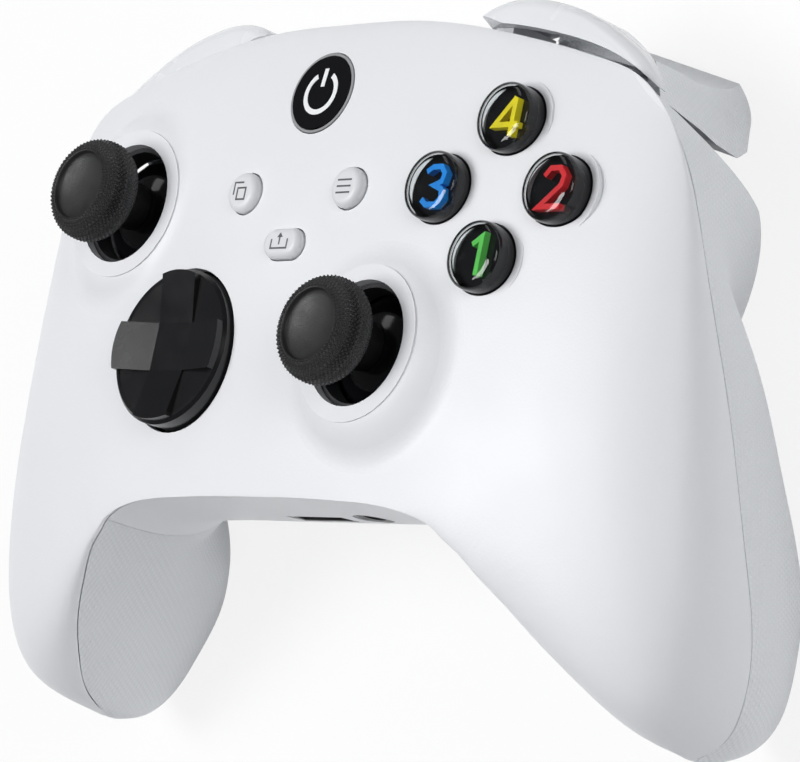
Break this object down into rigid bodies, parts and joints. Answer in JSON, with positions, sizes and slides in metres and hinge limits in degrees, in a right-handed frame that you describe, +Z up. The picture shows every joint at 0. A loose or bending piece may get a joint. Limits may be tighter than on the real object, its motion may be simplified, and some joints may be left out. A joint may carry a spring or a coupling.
{
  "type": "gamepad controller",
  "caption": "Two-handed gamepad with offset thumbsticks, directional pad, face buttons, bumpers, analogue triggers and a battery bay.",
  "frame": {"origin": "middle of the bottom of the bounding box, on the surface that the gamepad rests on", "axes": "+X to the player's right, +Y from the player towards the bumpers, +Z up; the face leans back as the gamepad lies on its handles and back shell"},
  "size_m": [0.1542, 0.1112, 0.057],
  "materials": {
    "body_white": "satin moulded white",
    "grip_white": "white with a fine dotted grip texture",
    "gloss_white": "smooth white",
    "stick_rubber": "matte dark grey with a knurled rim",
    "dark_plastic": "moulded black",
    "gloss_black": "polished black",
    "clear_lens": "clear moulded lens",
    "number_green": "green",
    "number_red": "red",
    "number_blue": "blue",
    "number_yellow": "yellow",
    "button_grey": "pale grey",
    "ring_grey": "grey light guide",
    "board_black": "solder mask",
    "pad_rubber": "silicone pad",
    "steel": "plain",
    "cell_jacket": "plain jacket",
    "contact_metal": "plated spring metal"
  },
  "bodies": {
    "body": {"accessory_port": "dark_plastic", "battery_cells": "cell_jacket", "battery_contacts": "contact_metal", "board_screws": "steel", "button_pad": "pad_rubber", "dpad_stand": "dark_plastic", "frame_screws": "steel", "front_shell": "body_white", "guide_light_ring": "ring_grey", "headset_jack": "dark_plastic", "left_rumble_motor": "steel", "left_side_grip": "grip_white", "left_stick_housing": "dark_plastic", "left_stick_ring": "dark_plastic", "main_board": "board_black", "mid_frame": "body_white", "rear_shell": "body_white", "right_rumble_motor": "steel", "right_side_grip": "grip_white", "right_stick_housing": "dark_plastic", "right_stick_ring": "dark_plastic", "top_bridge": "gloss_white", "trigger_pins": "steel", "trigger_springs": "steel", "upper_board": "board_black", "usb_c_port": "steel"},
    "left_stick_gimbal": {"left_stick_rocker": "dark_plastic"},
    "left_stick_stem": {"left_stick_shaft": "dark_plastic"},
    "left_thumbstick": {"left_stick_cap": "stick_rubber"},
    "right_stick_gimbal": {"right_stick_rocker": "dark_plastic"},
    "right_stick_stem": {"right_stick_shaft": "dark_plastic"},
    "right_thumbstick": {"right_stick_cap": "stick_rubber"},
    "dpad_ball": {"dpad_rocker": "dark_plastic"},
    "dpad": {"dpad": "gloss_black"},
    "south_button": {"south_button_body": "gloss_black", "south_button_lens": "clear_lens", "south_button_number": "number_green"},
    "east_button": {"east_button_body": "gloss_black", "east_button_lens": "clear_lens", "east_button_number": "number_red"},
    "west_button": {"west_button_body": "gloss_black", "west_button_lens": "clear_lens", "west_button_number": "number_blue"},
    "north_button": {"north_button_body": "gloss_black", "north_button_lens": "clear_lens", "north_button_number": "number_yellow"},
    "guide_button": {"guide_button": "gloss_black"},
    "view_button": {"view_button": "button_grey"},
    "menu_button": {"menu_button": "button_grey"},
    "share_button": {"share_button": "button_grey"},
    "pairing_button": {"pairing_button": "dark_plastic"},
    "left_bumper": {"left_bumper": "gloss_white"},
    "left_trigger": {"left_trigger": "grip_white", "left_trigger_motor": "steel"},
    "left_rumble_weight": {"left_rumble_weight": "steel"},
    "right_bumper": {"right_bumper": "gloss_white"},
    "right_trigger": {"right_trigger": "grip_white", "right_trigger_motor": "steel"},
    "right_rumble_weight": {"right_rumble_weight": "steel"},
    "battery_cover": {"battery_cover": "body_white"}
  },
  "joints": [
    {"name": "left_stick_up_down", "type": "hinge", "parent": "body", "child": "left_stick_gimbal", "pos_m": [-0.0406, 0.0233, 0.02768], "axis": [1, 0, 0], "range_deg": [-12, 12], "stiffness_Nm_per_rad": 0.02},
    {"name": "left_stick_left_right", "type": "hinge", "parent": "left_stick_gimbal", "child": "left_stick_stem", "pos_m": [-0.0406, 0.0233, 0.02768], "axis": [0, 0.9832, -0.1827], "range_deg": [-12, 12], "stiffness_Nm_per_rad": 0.02},
    {"name": "left_stick_click", "type": "slide", "parent": "left_stick_stem", "child": "left_thumbstick", "axis": [0, -0.1827, -0.9832], "range_m": [0, 0.0006], "stiffness_N_per_m": 3000, "springref_m": -0.0004},
    {"name": "right_stick_up_down", "type": "hinge", "parent": "body", "child": "right_stick_gimbal", "pos_m": [0.021, -0.00005, 0.03337], "axis": [1, 0, 0], "range_deg": [-12, 12], "stiffness_Nm_per_rad": 0.02},
    {"name": "right_stick_left_right", "type": "hinge", "parent": "right_stick_gimbal", "child": "right_stick_stem", "pos_m": [0.021, -0.00005, 0.03337], "axis": [0, 0.9832, -0.1827], "range_deg": [-12, 12], "stiffness_Nm_per_rad": 0.02},
    {"name": "right_stick_click", "type": "slide", "parent": "right_stick_stem", "child": "right_thumbstick", "axis": [0, -0.1827, -0.9832], "range_m": [0, 0.0006], "stiffness_N_per_m": 3000, "springref_m": -0.0004},
    {"name": "dpad_up_down", "type": "hinge", "parent": "body", "child": "dpad_ball", "pos_m": [-0.021, 0.00153, 0.04193], "axis": [1, 0, 0], "range_deg": [-4, 4], "stiffness_Nm_per_rad": 0.05},
    {"name": "dpad_left_right", "type": "hinge", "parent": "dpad_ball", "child": "dpad", "pos_m": [-0.021, 0.00153, 0.04193], "axis": [0, 0.9832, -0.1827], "range_deg": [-4, 4], "stiffness_Nm_per_rad": 0.05},
    {"name": "south_button_press", "type": "slide", "parent": "body", "child": "south_button", "axis": [0, -0.1827, -0.9832], "range_m": [0, 0.0011], "stiffness_N_per_m": 1000, "springref_m": -0.0005},
    {"name": "east_button_press", "type": "slide", "parent": "body", "child": "east_button", "axis": [0, -0.1827, -0.9832], "range_m": [0, 0.0011], "stiffness_N_per_m": 1000, "springref_m": -0.0005},
    {"name": "west_button_press", "type": "slide", "parent": "body", "child": "west_button", "axis": [0, -0.1827, -0.9832], "range_m": [0, 0.0011], "stiffness_N_per_m": 1000, "springref_m": -0.0005},
    {"name": "north_button_press", "type": "slide", "parent": "body", "child": "north_button", "axis": [0, -0.1827, -0.9832], "range_m": [0, 0.0011], "stiffness_N_per_m": 1000, "springref_m": -0.0005},
    {"name": "guide_button_press", "type": "slide", "parent": "body", "child": "guide_button", "axis": [0, -0.1827, -0.9832], "range_m": [0, 0.0008], "stiffness_N_per_m": 1000, "springref_m": -0.0005},
    {"name": "view_button_press", "type": "slide", "parent": "body", "child": "view_button", "axis": [0, -0.1827, -0.9832], "range_m": [0, 0.0008], "stiffness_N_per_m": 1000, "springref_m": -0.0005},
    {"name": "menu_button_press", "type": "slide", "parent": "body", "child": "menu_button", "axis": [0, -0.1827, -0.9832], "range_m": [0, 0.0008], "stiffness_N_per_m": 1000, "springref_m": -0.0005},
    {"name": "share_button_press", "type": "slide", "parent": "body", "child": "share_button", "axis": [0, -0.1827, -0.9832], "range_m": [0, 0.0008], "stiffness_N_per_m": 1000, "springref_m": -0.0005},
    {"name": "pairing_button_press", "type": "slide", "parent": "body", "child": "pairing_button", "axis": [0, -0.9832, 0.1827], "range_m": [0, 0.0005], "stiffness_N_per_m": 1000, "springref_m": -0.0005},
    {"name": "left_bumper_press", "type": "hinge", "parent": "body", "child": "left_bumper", "pos_m": [-0.021, 0.0449, 0.02296], "axis": [0, 0.1827, 0.9832], "range_deg": [0, 1.5], "stiffness_Nm_per_rad": 2, "springref_deg": -1},
    {"name": "left_trigger_pull", "type": "hinge", "parent": "body", "child": "left_trigger", "pos_m": [-0.04265, 0.04442, 0.02204], "axis": [-0.9563, -0.2875, 0.0534], "range_deg": [0, 15], "stiffness_Nm_per_rad": 0.05, "springref_deg": -4},
    {"name": "left_rumble_spin", "type": "hinge", "parent": "body", "child": "left_rumble_weight", "pos_m": [-0.06, -0.02738, 0.00893], "axis": [0, 0.1827, 0.9832], "continuous": true},
    {"name": "right_bumper_press", "type": "hinge", "parent": "body", "child": "right_bumper", "pos_m": [0.021, 0.0449, 0.02296], "axis": [0, -0.1827, -0.9832], "range_deg": [0, 1.5], "stiffness_Nm_per_rad": 2, "springref_deg": -1},
    {"name": "right_trigger_pull", "type": "hinge", "parent": "body", "child": "right_trigger", "pos_m": [0.04265, 0.04442, 0.02204], "axis": [-0.9563, 0.2875, -0.0534], "range_deg": [0, 15], "stiffness_Nm_per_rad": 0.05, "springref_deg": -4},
    {"name": "right_rumble_spin", "type": "hinge", "parent": "body", "child": "right_rumble_weight", "pos_m": [0.06, -0.02738, 0.00893], "axis": [0, 0.1827, 0.9832], "continuous": true},
    {"name": "battery_cover_lift", "type": "slide", "parent": "body", "child": "battery_cover", "axis": [0, -0.1827, -0.9832], "range_m": [0, 0.02]}
  ]
}
